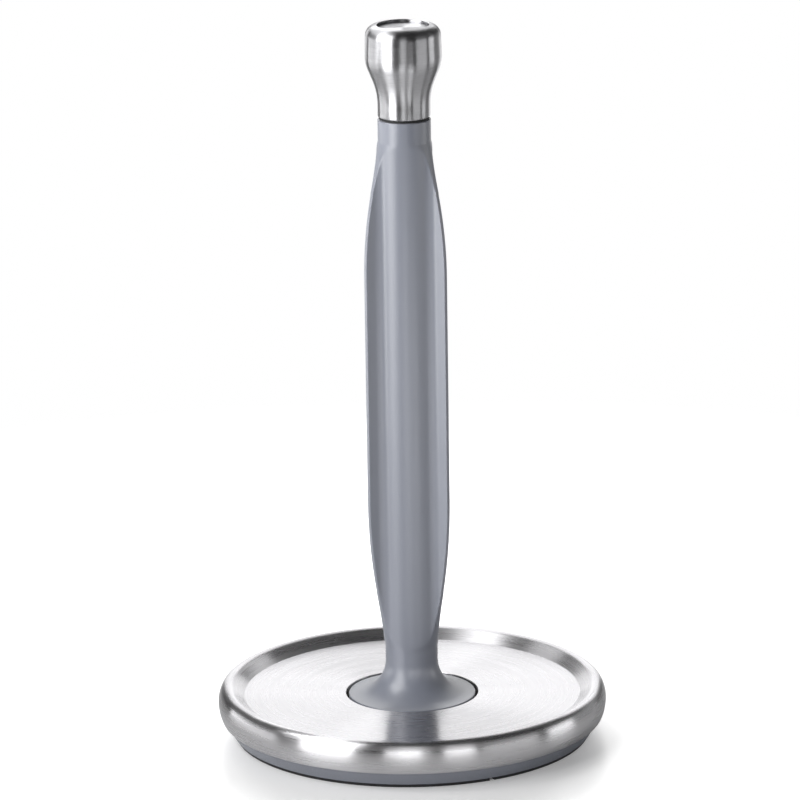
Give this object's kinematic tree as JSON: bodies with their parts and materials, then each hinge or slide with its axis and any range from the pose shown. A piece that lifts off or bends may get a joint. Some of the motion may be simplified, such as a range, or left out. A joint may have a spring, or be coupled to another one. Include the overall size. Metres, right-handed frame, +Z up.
{
  "type": "paper towel holder",
  "caption": "Standing paper towel holder: a round weighted steel base with a raised rim, a finned soft-grip mast that turns with a click, and a bulb-shaped steel knob.",
  "frame": {"origin": "middle of the footprint, on the table that the feet stand on", "axes": "+Z up along the rod, -Y towards the front"},
  "size_m": [0.19, 0.19, 0.3525],
  "materials": {
    "stainless": "circular brushed",
    "soft_grip": "satin soft-touch elastomer",
    "cover_plastic": "fine matt moulded",
    "foot_rubber": "matt",
    "cast_weight": "as cast",
    "hub_plastic": "glass-filled, matt",
    "bearing_plastic": "natural acetal",
    "rod_steel": "turned, zinc plated",
    "spring_steel": "rolled spring steel",
    "brass": "turned"
  },
  "bodies": {
    "base": {"base_shell": "stainless", "base_weight": "cast_weight", "base_cover": "cover_plastic", "foot_segments": "foot_rubber", "hub_cup": "hub_plastic", "click_ring": "bearing_plastic", "thrust_washer": "bearing_plastic", "centre_rod": "rod_steel", "rod_washer": "rod_steel", "rod_nut": "rod_steel", "cup_screws": "rod_steel", "cover_screws": "rod_steel", "retaining_clip": "rod_steel", "knob_shell": "stainless", "knob_disc": "stainless", "knob_core": "hub_plastic", "knob_insert": "brass", "knob_gasket": "foot_rubber"},
    "mast": {"mast_sleeve": "soft_grip", "mast_core": "hub_plastic", "lower_bush": "bearing_plastic", "upper_bush": "bearing_plastic", "spring_carrier": "hub_plastic", "click_springs": "spring_steel", "carrier_screws": "rod_steel"}
  },
  "joints": [
    {"name": "mast_spin", "type": "hinge", "parent": "base", "child": "mast", "pos_m": [0, 0, 0.0115], "axis": [0, 0, 1], "continuous": true, "deforming": ["click_springs"]}
  ]
}
